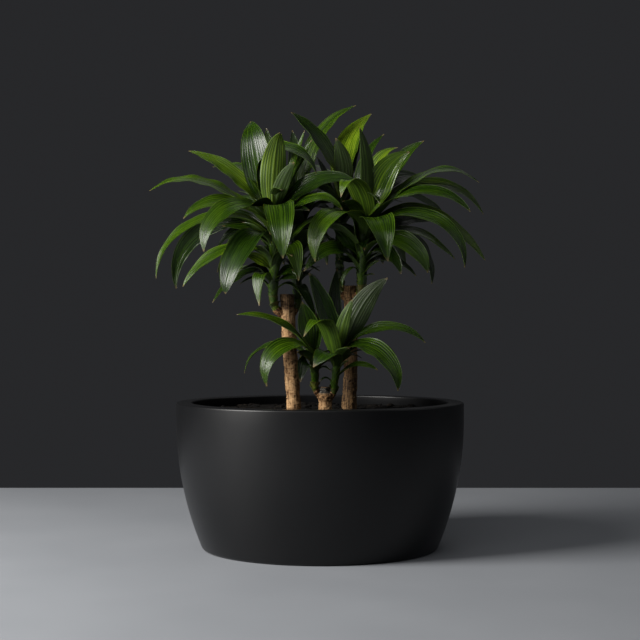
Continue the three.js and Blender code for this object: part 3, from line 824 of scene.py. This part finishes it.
def make_soil(rng):
    edge = float(cavity_radius_at(SOIL_HEIGHT)) - SOIL_GAP
    bottom = BOWL_FLOOR + SOIL_GAP
    heights = np.linspace(bottom, SOIL_SIDE_TOP, 12)
    side = np.stack((cavity_radius_at(heights - SOIL_GAP) - SOIL_GAP, heights), axis=-1)
    radii = np.linspace(edge, AXIS_RING, SOIL_RINGS)
    surface = np.stack((radii, np.full(SOIL_RINGS, SOIL_HEIGHT)), axis=-1)
    rings = lathe(np.vstack((((AXIS_RING, bottom),), side, surface)), SOIL_SIDES)
    top = rings[len(side) + 1:]
    x, y = top[..., 0], top[..., 1]
    waves = zip(
        rng.uniform(0.2, 0.5, CRUMBLE_WAVES), rng.uniform(1.6, 9, CRUMBLE_WAVES),
        rng.uniform(0, ANY_ANGLE, CRUMBLE_WAVES), rng.uniform(0, ANY_ANGLE, CRUMBLE_WAVES),
    )
    crumble = sum(
        strength * np.sin(x * math.cos(way) / length + y * math.sin(way) / length + phase)
        for strength, length, way, phase in waves
    )
    inside = smoothstep(edge, edge - SOIL_CALM_EDGE, np.hypot(x, y))
    top[..., 2] = lerp(SOIL_HEIGHT, soil_height(x, y), inside) + CRUMBLE_HEIGHT * crumble
    shells = Shells("tint")
    shells.add(rings)
    shells.piece("soil_bed", "soil", "soil", [soil_look()], sharp=80)


def make_crumbs(rng, material):
    """Crumbs and chips of bark that lie half sunk in the soil."""
    shells = Shells("tint")
    edge = float(cavity_radius_at(SOIL_HEIGHT)) - CRUMBS_OFF_BOWL
    canes = [place(cane["axis"][1])[:2] for cane in CANES.values()]
    girth = np.sqrt(1 - CRUMB_LEVELS**2)[:, None]
    middles = np.zeros((len(CRUMB_LEVELS), 3))
    for _ in range(CRUMBS):
        radius = edge * math.sqrt(rng.uniform(0, 1))
        angle = rng.uniform(0, 2 * math.pi)
        x, y = radius * math.cos(angle), radius * math.sin(angle)
        if min(math.hypot(x - cane_x, y - cane_y) for cane_x, cane_y in canes) < CRUMBS_OFF_CANE:
            continue
        size = rng.uniform(1.2, 3.2) if rng.uniform() < 0.85 else rng.uniform(3.5, 6.5)
        flat = rng.uniform(0.45, 0.8)
        long_way = rng.uniform(1, 1.8)
        uneven = 1 + rng.uniform(-0.22, 0.22, (len(CRUMB_LEVELS), CRUMB_SIDES))
        middles[:, 2] = CRUMB_LEVELS * flat
        rings = level_rings(middles, girth * uneven, CRUMB_SIDES) * (size * long_way, size, size)
        turn = rng.uniform(0, 2 * math.pi)
        spun = rings.copy()
        spun[..., 0] = rings[..., 0] * math.cos(turn) - rings[..., 1] * math.sin(turn)
        spun[..., 1] = rings[..., 0] * math.sin(turn) + rings[..., 1] * math.cos(turn)
        spun += (x, y, float(soil_height(x, y)) + size * flat * 0.25)
        shells.add(spun, tint=rng.uniform(-0.6, 1.2))
    shells.piece("soil_crumbs", None, "soil", [material], sharp=35)


# ---- Canes ----

def ring_scars(rng, low, high, spacing):
    """Heights of the scars that old leaves left on a cane."""
    heights = []
    z = low
    while z < high:
        heights.append(z)
        z += spacing * rng.uniform(0.65, 1.4)
    return heights


def from_angle(angle, facing):
    """How far each angle lies from the one faced, from -pi to pi."""
    return (angle - facing + math.pi) % (2 * math.pi) - math.pi


class Relief:
    """The relief of a cane's bark: its bumps in mm, and how sunk and how raised each point is. How sunk a
    point is darkens it: partly the dark of real cracks, partly painted shade in recesses.
    """

    def __init__(self, bumps):
        self.bumps = bumps
        self.sunk = np.zeros_like(bumps)
        self.raised = np.zeros_like(bumps)

    def add(self, bumps, sunk, raised=0):
        self.bumps += bumps
        self.sunk = np.maximum(self.sunk, sunk)
        self.raised = np.maximum(self.raised, raised)


def add_scars(relief, rng, angle, z, top, spacing):
    """Wavy, broken rings, each a groove with a lip above it."""
    for height in ring_scars(rng, SOIL_HEIGHT - 12, top - 4, spacing):
        wobble = rng.uniform(0.8, 2.4) * np.sin(angle + rng.uniform(0, ANY_ANGLE))
        wobble = wobble + rng.uniform(0.4, 1.0) * np.sin(3 * angle + rng.uniform(0, ANY_ANGLE))
        gaps = np.sin(2 * angle + rng.uniform(0, ANY_ANGLE)) * rng.uniform(0.7, 1)
        broken = smoothstep(-0.35, 0.5, gaps)
        off = z - height - wobble
        groove = np.exp(-((off / 0.8) ** 2)) * broken
        lip = np.exp(-(((off - 2.0) / 1.2) ** 2)) * broken
        relief.add(0.6 * lip - 0.6 * groove, 0.4 * groove, lip)


def add_notches(relief, rng, angle, z, top):
    """Short slanting notches, each with a torn edge below it."""
    for _ in range(int((top - SOIL_HEIGHT) / NOTCH_SPACING)):
        aside = from_angle(angle, rng.uniform(0, ANY_ANGLE)) / rng.uniform(0.08, 0.34)
        off = z - rng.uniform(SOIL_HEIGHT, top) - rng.uniform(-3.5, 3.5) * aside
        notch = np.exp(-((off / rng.uniform(0.9, 3.0)) ** 2) - aside**4)
        torn = np.exp(-(((off + 3.0) / 1.4) ** 2) - aside**4)
        depth = rng.uniform(0.35, 1.0)
        relief.add(0.7 * torn - 0.9 * depth * notch, depth * notch, torn)


def add_cracks(relief, rng, angle, z, top):
    """Narrow upright cracks."""
    for _ in range(int((top - SOIL_HEIGHT) / CRACK_SPACING)):
        aside = from_angle(angle, rng.uniform(0, ANY_ANGLE)) / 0.075
        crack = np.exp(-(aside**2) - ((z - rng.uniform(SOIL_HEIGHT, top)) / rng.uniform(4, 14)) ** 2)
        relief.add(-0.8 * crack, crack)


def make_cane(name, material, scar_spacing, stain_and_shade_at, collar=None):
    """A cane with the callus of its shoots; collar is the height of a lumpy collar round it."""
    rng = np.random.default_rng(sum(map(ord, name)))
    cane = CANES[name]
    knots = place_all(cane["axis"])
    top = knots[-1, 2]
    buried = np.linspace(knots[0, 2], BURIED_TO, BURIED_RINGS)
    levels = np.concatenate((buried, np.arange(FINE_RINGS_FROM, top - CUT_DEPTH, CANE_STEP)))
    swell = 1 + CANE_SWELL * np.sin(2 * math.pi * levels / CANE_SWELL_LENGTH)
    radii = np.interp(levels, knots[:, 2], cane["radii"]) * swell
    angle = circle(CANE_SIDES)[None]
    z = levels[:, None]
    relief = Relief(0.38 * ripples(rng, 24, 7, 22)(angle, z) + 0.22 * ripples(rng, 30, 16, 60)(angle, z))
    add_scars(relief, rng, angle, z, top, scar_spacing)
    add_notches(relief, rng, angle, z, top)
    add_cracks(relief, rng, angle, z, top)
    everywhere = np.ones_like(relief.bumps)
    grown = np.zeros_like(everywhere)
    bare = np.zeros_like(everywhere)
    if collar:
        grown = np.exp(-(((z - collar) / 7) ** 2)) * everywhere
        lumps = ripples(rng, 36, 9, 8)(angle, z)
        # The hollows between the lumps are sunk, which darkens them as painted shade.
        relief.add(1.3 * grown * lumps, grown * np.clip(-0.8 * lumps, 0, 1))
        bare = smoothstep(collar + 6, collar + 10, z) * everywhere
    rings = level_rings(at_height(knots, levels), radii[:, None] + relief.bumps - BARK_INSET, CANE_SIDES)
    cap = knots[-1] + (rings[-1] - rings[-1].mean(axis=0))[None] * CAP_SHRINK[:, None, None]
    cap[..., 2] = top - CUT_DEPTH + CAP_RISE[:, None] + 0.25 * np.sin(5 * angle)
    # Dark old bark, with painted shade and painted shadow in it.
    stain_and_shade = stain_and_shade_at(z * everywhere, angle * everywhere, top)
    plain = np.zeros((len(cap), CANE_SIDES))
    shells = Shells("sunk", "raised", "cut", "callus", "flake", "stained_and_shaded")
    shells.add(
        np.concatenate((rings, cap)),
        sunk=np.concatenate((relief.sunk, plain)),
        raised=np.concatenate((relief.raised, plain)),
        cut=np.concatenate((bare, plain + smoothstep(0.92, 0.84, CAP_SHRINK)[:, None])),
        callus=np.concatenate((0.85 * grown, plain)),
        stained_and_shaded=np.concatenate((stain_and_shade, plain + stain_and_shade[-1].mean())),
    )
    for _ in range(int((top - SOIL_HEIGHT) / FLAKE_SPACING)):
        add_flake(shells, rng, knots, cane["radii"], top)
    for shoot in SHOOTS.values():
        if shoot["cane"] == name:
            add_callus(shells, rng, shoot)
    shells.piece(name + "_bark", name, "cane", [material])


def add_flake(shells, rng, knots, radii, top):
    """A thin flake of bark that has come loose along its upper or its lower edge."""
    z = rng.uniform(SOIL_HEIGHT + 2, max(top - 50, SOIL_HEIGHT + 20))
    tall, wide = rng.uniform(2.5, 9), rng.uniform(3, 8)
    facing = rng.uniform(0, 2 * math.pi)
    middle = at_height(knots, z)
    radius = float(np.interp(z, knots[:, 2], radii))
    lift = rng.uniform(0.4, 1.3)
    loose_top = rng.uniform() < 0.6
    rows = []
    for share in np.linspace(0, 1, 5):
        raised = (share if loose_top else 1 - share) ** 2 * lift
        narrow = 1 - 0.4 * abs(share - 0.5) * rng.uniform(0.6, 1.4)
        spread = np.linspace(1, -1, 5) * wide / 2 / radius * narrow
        height = z + (share - 0.5) * tall + rng.uniform(-0.5, 0.5)
        outer = [(radius + 0.25 + raised + 0.3 * s * s, facing + s) for s in spread]
        ring = outer + [(r - 0.35, a) for r, a in reversed(outer)]
        rows.append([(middle[0] + r * math.cos(a), middle[1] + r * math.sin(a), height) for r, a in ring])
    shells.add(np.array(rows)[::-1], thin=True, flake=1.0)


def add_callus(shells, rng, shoot):
    """The lumpy foot of a shoot; its lumps die out over the last tenth."""
    path, lengths = stem_curve(place_all(shoot["stem"]))
    wanted = np.arange(0, shoot["callus"] + 0.01, CALLUS_STEP)
    centres = at_length(path, lengths, wanted)
    share = wanted / wanted[-1]
    radii = shoot["radius"] * lerp(CALLUS_AT_CANE, CALLUS_AT_STEM, share)
    angle = circle(CALLUS_SIDES)[None]
    broad = ripples(rng, 26, 7, 9)(angle, wanted[:, None])
    fine = ripples(rng, 26, 13, 5)(angle, wanted[:, None])
    lumps = broad + 0.6 * fine
    ends = np.where(share > 0.9, (1 - share) / 0.1, 1)[:, None]
    rings = tube_rings(centres, radii[:, None] + lumps * ends - 0.1, CALLUS_SIDES)
    shells.add(rings, callus=1.0, sunk=np.clip(-lumps, 0, 1) * 0.7)


# ---- Shoots ----

def stem_point_at(stem, height):
    i = max(1, int(np.argmax(stem[:, 2] >= height)))
    share = (height - stem[i - 1, 2]) / (stem[i, 2] - stem[i - 1, 2])
    return lerp(stem[i - 1], stem[i], share)


def blade_half_width(width, t):
    grown = np.sin(math.pi / 2 * np.minimum(1, t / WIDEST_AT))
    young = width / 2 * (ROOT_WIDTH + (1 - ROOT_WIDTH) * grown)
    past = np.clip((t - WIDEST_AT) / (1 - WIDEST_AT), 0, 1)
    old = TIP_HALF_WIDTH + (width / 2 - TIP_HALF_WIDTH) * (1 - past**TIP_FULLNESS)
    return np.where(t < WIDEST_AT, young, old)


def gutter_at(t):
    closed = np.clip(1 - t / WIDEST_AT, 0, 1) ** GUTTER_OPENING
    opening = lerp(GUTTER_AT_MIDDLE, GUTTER_AT_ROOT, closed)
    closing = lerp(GUTTER_AT_MIDDLE, GUTTER_AT_TIP, np.clip((t - WIDEST_AT) / (1 - WIDEST_AT), 0, 1))
    return np.radians(np.where(t < WIDEST_AT, opening, closing))


def add_blade(shells, rng, stem, radius, leaf, seed, placed=False):
    """Adds the pleated, waved blade of a leaf, and returns the level direction that it grows in.

    Where placed is true, the points of the leaf are true positions already.
    """
    root_height, width, turn, tone, *way = leaf
    axis_point = stem_point_at(stem, root_height)
    points = np.array(way) if placed else place_all(way)
    outward = points.mean(axis=0) - axis_point
    outward[2] = 0
    outward = unit(outward)
    points = np.vstack((axis_point + outward * radius * ROOT_OFF_AXIS, points))
    length = np.linalg.norm(np.diff(points, axis=0), axis=1).sum()
    t = np.linspace(0, 1, max(FEWEST_ROWS, round(length / BLADE_STEP)))
    centres = along_midrib(points, t)
    along = unit(along_midrib(points, t + TANGENT_STEP) - along_midrib(points, t - TANGENT_STEP))
    level = np.cross(UP, outward)
    across = unit(level - (along @ level)[:, None] * along)
    angle = np.radians(turn) * np.minimum(1, t / TURN_DONE_AT)
    across = across * np.cos(angle)[:, None] + np.cross(along, across) * np.sin(angle)[:, None]
    face = np.cross(along, across)

    half = blade_half_width(width, t)[:, None]
    fold = gutter_at(t)[:, None]
    pleats = max(2, round(width / 2 / PLEAT_WIDTH))
    side = np.linspace(1, -1, 2 * pleats * COLUMNS_PER_PLEAT + 1)[None]
    off = np.abs(side)
    body = np.sin(math.pi * np.clip(t, 0, 1))[:, None] ** 0.7
    above = half * off ** (1.1 + 0.8 * body) * np.sin(fold)
    ridge = np.cos(2 * math.pi * pleats * off) * smoothstep(0.04, 0.2, off)
    above = above + PLEAT_HEIGHT * ridge * body
    for hand in (-1, 1):
        ripple = np.sin(2 * math.pi * (t * length / rng.uniform(45, 90) + rng.uniform(0, 1)))[:, None]
        reach = rng.uniform(0.8, 2.3) * min(1, width / 45)
        above = above + reach * ripple * np.where(side * hand > 0, off**2, 0) * body
    rib = np.exp(-((off / RIB_HALF_WIDTH) ** 2)) * (1 - smoothstep(0.75, 1.0, t)[:, None])
    upper = above + HALF_THICKNESS - RIB_DIP * rib
    lower = above - HALF_THICKNESS - RIB_KEEL * rib
    flat = centres[:, None] + across[:, None] * (side * half * np.cos(fold))[..., None]
    top = flat + face[:, None] * upper[..., None]
    bottom = flat + face[:, None] * lower[..., None]
    run = t[:, None] * length
    shells.add(
        np.concatenate((top, bottom[:, ::-1]), axis=1), thin=True, **both_faces(side),
        along=run, seed=seed, tone=tone,
        ridge=np.concatenate((ridge, -ridge[:, ::-1]), axis=1),
        dry=smoothstep(length - rng.uniform(2, 4), length - 0.5, run),
    )
    return outward


def both_faces(side):
    """The side and back values of the rings of a thin shell, whose columns have these sides."""
    return {
        "side": np.concatenate((side, side[:, ::-1]), axis=1),
        "back": np.concatenate((np.zeros_like(side), np.ones_like(side)), axis=1),
    }


def add_clasp(shells, curve, radius, top_length, outward, length, reach, flare, **values):
    """The foot of a leaf, which clasps the stem: it reaches less far round it higher up."""
    path, lengths = curve
    share = np.linspace(0, 1, CLASP_ROWS)
    wanted = np.clip(top_length - length * (1 - share), 1, lengths[-1])
    centres = at_length(path, lengths, wanted)
    tangents = unit(at_length(path, lengths, wanted + 0.5) - at_length(path, lengths, wanted - 0.5))
    facing = unit(outward - (tangents @ outward)[:, None] * tangents)
    aside = np.cross(tangents, facing)
    side = np.linspace(1, -1, CLASP_COLUMNS)[None]
    angle = side * np.radians(lerp(*reach, share**1.3))[:, None]
    spread = radius + CLASP_OFF_STEM + flare * share[:, None] ** 1.6 + 0.3 * np.abs(side)
    spokes = facing[:, None] * np.cos(angle)[..., None] + aside[:, None] * np.sin(angle)[..., None]
    outer = centres[:, None] + spokes * spread[..., None]
    inner = centres[:, None] + spokes * (spread - CLASP_THICKNESS)[..., None]
    rings = np.concatenate((outer, inner[:, ::-1]), axis=1)
    shells.add(rings, thin=True, along=wanted[:, None], **both_faces(side), **values)


def add_sheath(shells, curve, radius, leaf, outward, seed):
    """The foot of a living leaf."""
    path, lengths = curve
    top_length = float(np.interp(leaf[0], path[:, 2], lengths)) + SHEATH_ABOVE_ROOT
    add_clasp(
        shells, curve, radius, top_length, outward, SHEATH_LENGTH, SHEATH_REACH, SHEATH_FLARE,
        seed=seed, tone=leaf[3] * 0.3 + 0.42,
    )


def add_old_feet(shells, rng, curve, shoot, heights):
    """The feet of fallen leaves, which still clasp the stem one above another below the lowest leaf."""
    path, lengths = curve
    lowest = float(np.interp(heights[0], path[:, 2], lengths))
    turn = rng.uniform(0, ANY_ANGLE)
    top_length = shoot["callus"] + SCAR_LENGTH
    while top_length < lowest:
        if rng.uniform() < STUB_SHARE:
            form = (STUB_LENGTH, STUB_REACH, rng.uniform(5, 8))
        else:
            form = (SCAR_LENGTH, SCAR_REACH, rng.uniform(1.6, 3.6))
        add_clasp(
            shells, curve, shoot["radius"], top_length, level_way(turn), *form,
            seed=rng.uniform(0, ANY_SEED), tone=rng.uniform(0.3, 0.8), dry=rng.uniform(0, 0.45),
        )
        turn += GOLDEN_ANGLE
        top_length += rng.uniform(5, 8)


def add_inner_leaves(shells, rng, stem, curve, shoot, heights):
    """Short leaves deep in a crown, which fill the gaps between the large ones; their dark tone is
    painted shade.
    """
    turn = rng.uniform(0, ANY_ANGLE)
    size = shoot["radius"] / USUAL_STEM_RADIUS
    height = heights[0] + INNER_SPACING * size
    while height < heights[-1] - INNER_BELOW_TOP:
        outward = level_way(turn)
        reach = rng.uniform(55, 95) * size
        root = stem_point_at(stem, height)
        way = [
            root + outward * reach * 0.5 + UP * reach * rng.uniform(0.55, 0.8),
            root + outward * reach * 1.05 + UP * reach * rng.uniform(0.45, 0.9),
        ]
        seed = rng.uniform(0, ANY_SEED)
        # A low tone, as painted shade deep in the crown.
        leaf = (height, rng.uniform(24, 36), rng.uniform(-30, 30), rng.uniform(0.18, 0.36), *way)
        add_blade(shells, rng, stem, shoot["radius"], leaf, seed, placed=True)
        add_sheath(shells, curve, shoot["radius"], leaf, outward, seed)
        turn += GOLDEN_ANGLE
        height += INNER_SPACING * size * rng.uniform(0.8, 1.2)


def add_stem(shells, rng, curve, shoot):
    path, lengths = curve
    wanted = np.arange(shoot["callus"] + GAP, lengths[-1], STEM_STEP)
    centres = at_length(path, lengths, wanted)
    angle = circle(STEM_SIDES)[None]
    ringed = np.cos(2 * math.pi * wanted / STEM_RING_SPACING)[:, None]
    bumps = 0.18 * ringed + 0.12 * ripples(rng, 12, 5, 20)(angle, wanted[:, None])
    rings = tube_rings(centres, shoot["radius"] - 0.15 + bumps, STEM_SIDES)
    shells.add(rings, slot=1, along=(wanted - wanted[0])[:, None])


def make_shoot(name, materials):
    shoot = SHOOTS[name]
    rng = np.random.default_rng(sum(map(ord, name)))
    stem = place_all(shoot["stem"])
    curve = stem_curve(stem)
    shells = Shells("side", "ridge", "back", "along", "seed", "tone", "dry")
    add_stem(shells, rng, curve, shoot)
    heights = sorted(leaf[0] for leaf in LEAVES[name])
    add_old_feet(shells, rng, curve, shoot, heights)
    for leaf in LEAVES[name]:
        seed = rng.uniform(0, ANY_SEED)
        outward = add_blade(shells, rng, stem, shoot["radius"], leaf, seed)
        add_sheath(shells, curve, shoot["radius"], leaf, outward, seed)
    add_inner_leaves(shells, rng, stem, curve, shoot, heights)
    for leaf in SMALL_LEAVES.get(name, ()):
        outward = add_blade(shells, rng, stem, shoot["radius"], leaf, rng.uniform(0, ANY_SEED))
        add_sheath(shells, curve, shoot["radius"], leaf, outward, rng.uniform(0, ANY_SEED))
    shells.piece(name + "_leaves", name, "leaf", materials, sharp=60)


# ---- The whole plant ----

def left_stain_and_shade(z, angle, top):
    """Dark old bark near the cut, with painted shade that makes it a little darker on the side away from
    the light.
    """
    return smoothstep(top - 62, top - 14, z) * (0.92 + 0.08 * np.cos(angle - 0.4))


def right_stain_and_shade(z, angle, top):
    """A dark patch above the soil, darkest in front, which is painted shadow, and dark bark under the
    cut.
    """
    low = np.exp(-(((z - 335) / 60) ** 2)) * (0.6 + 0.3 * np.cos(angle + 1.6))
    return np.maximum(low, 0.7 * smoothstep(top - 26, top - 6, z))


def middle_stain_and_shade(z, angle, top):
    """Dark bark under the cut, with painted shade that makes it darkest on the right, away from the
    light.
    """
    return 0.6 * smoothstep(top - 14, top - 6, z) * (0.6 + 0.4 * np.cos(angle))


STRAW = ((0.49, 0.305, 0.150), (0.29, 0.158, 0.068), (0.060, 0.027, 0.010))
TAN = ((0.32, 0.190, 0.083), (0.155, 0.082, 0.032), (0.038, 0.018, 0.007))

make_planter()
make_soil(np.random.default_rng(7))
make_crumbs(np.random.default_rng(8), bpy.data.materials["dark_soil_and_shade"])
make_cane("cane_left", bark_look("straw_bark", *STRAW, 0.97, 0.35), 10, left_stain_and_shade)
make_cane("cane_right", bark_look("tan_bark", *TAN, 0.85, 0.62), 17, right_stain_and_shade)
make_cane("cane_middle", bark_look("pale_bark", *STRAW, 0.8, 0.42), 8, middle_stain_and_shade, collar=316)
shoot_looks = [leaf_look(), stem_look()]
for shoot_name in SHOOTS:
    make_shoot(shoot_name, shoot_looks)


# ---- Floor, light and camera ----

def make_floor():
    mesh = bpy.data.meshes.new("studio_floor")
    left, right = -FLOOR_SIDE, FLOOR_SIDE
    corners = (
        (left, FLOOR_FRONT, 0), (right, FLOOR_FRONT, 0), (right, FLOOR_BACK, 0), (left, FLOOR_BACK, 0),
    )
    mesh.from_pydata(corners, [], [(0, 1, 2, 3)])
    mesh.materials.append(floor_look())
    floor = add_object("studio_floor", mesh)


def soft_light(name, location, size, power, colour=(1, 1, 1)):
    """An area light that faces the middle of the plant."""
    data = bpy.data.lights.new(name, "AREA")
    data.shape = "RECTANGLE"
    data.size, data.size_y = size
    data.energy = power
    data.color = colour
    light = add_object(name, data)
    light.location = location
    direction = np.array(LIT_POINT) - np.array(light.location)
    tilt = math.atan2(math.hypot(direction[0], direction[1]), -direction[2])
    light.rotation_euler = (tilt, 0, math.atan2(direction[1], direction[0]) - math.pi / 2)


def make_camera():
    data = bpy.data.cameras.new("camera")
    data.lens = LENS
    data.sensor_width = SENSOR
    camera = add_object("camera", data)
    camera.location = (0, -EYE_DISTANCE * MM, EYE_HEIGHT * MM)
    camera.rotation_euler = (math.pi / 2, 0, 0)
    bpy.context.scene.camera = camera


make_floor()
soft_light("key", (-2.5, -1.3, 1.6), (1.4, 1.5), 165, (1.0, 0.98, 0.95))
soft_light("front_fill", (-0.7, -2.7, 2.9), (2.6, 1.8), 17)
soft_light("right_edge", (2.5, -0.3, 1.9), (2.2, 2.2), 4, (0.95, 0.97, 1.0))
soft_light("back_fill", (0.4, 2.3, 3.4), (3.0, 2.0), 7)
world = bpy.data.worlds.new("studio")
world.use_nodes = True
world.node_tree.nodes["Background"].inputs["Color"].default_value = SURROUND
bpy.context.scene.world = world
bpy.context.scene.view_settings.view_transform = "Standard"
make_camera()
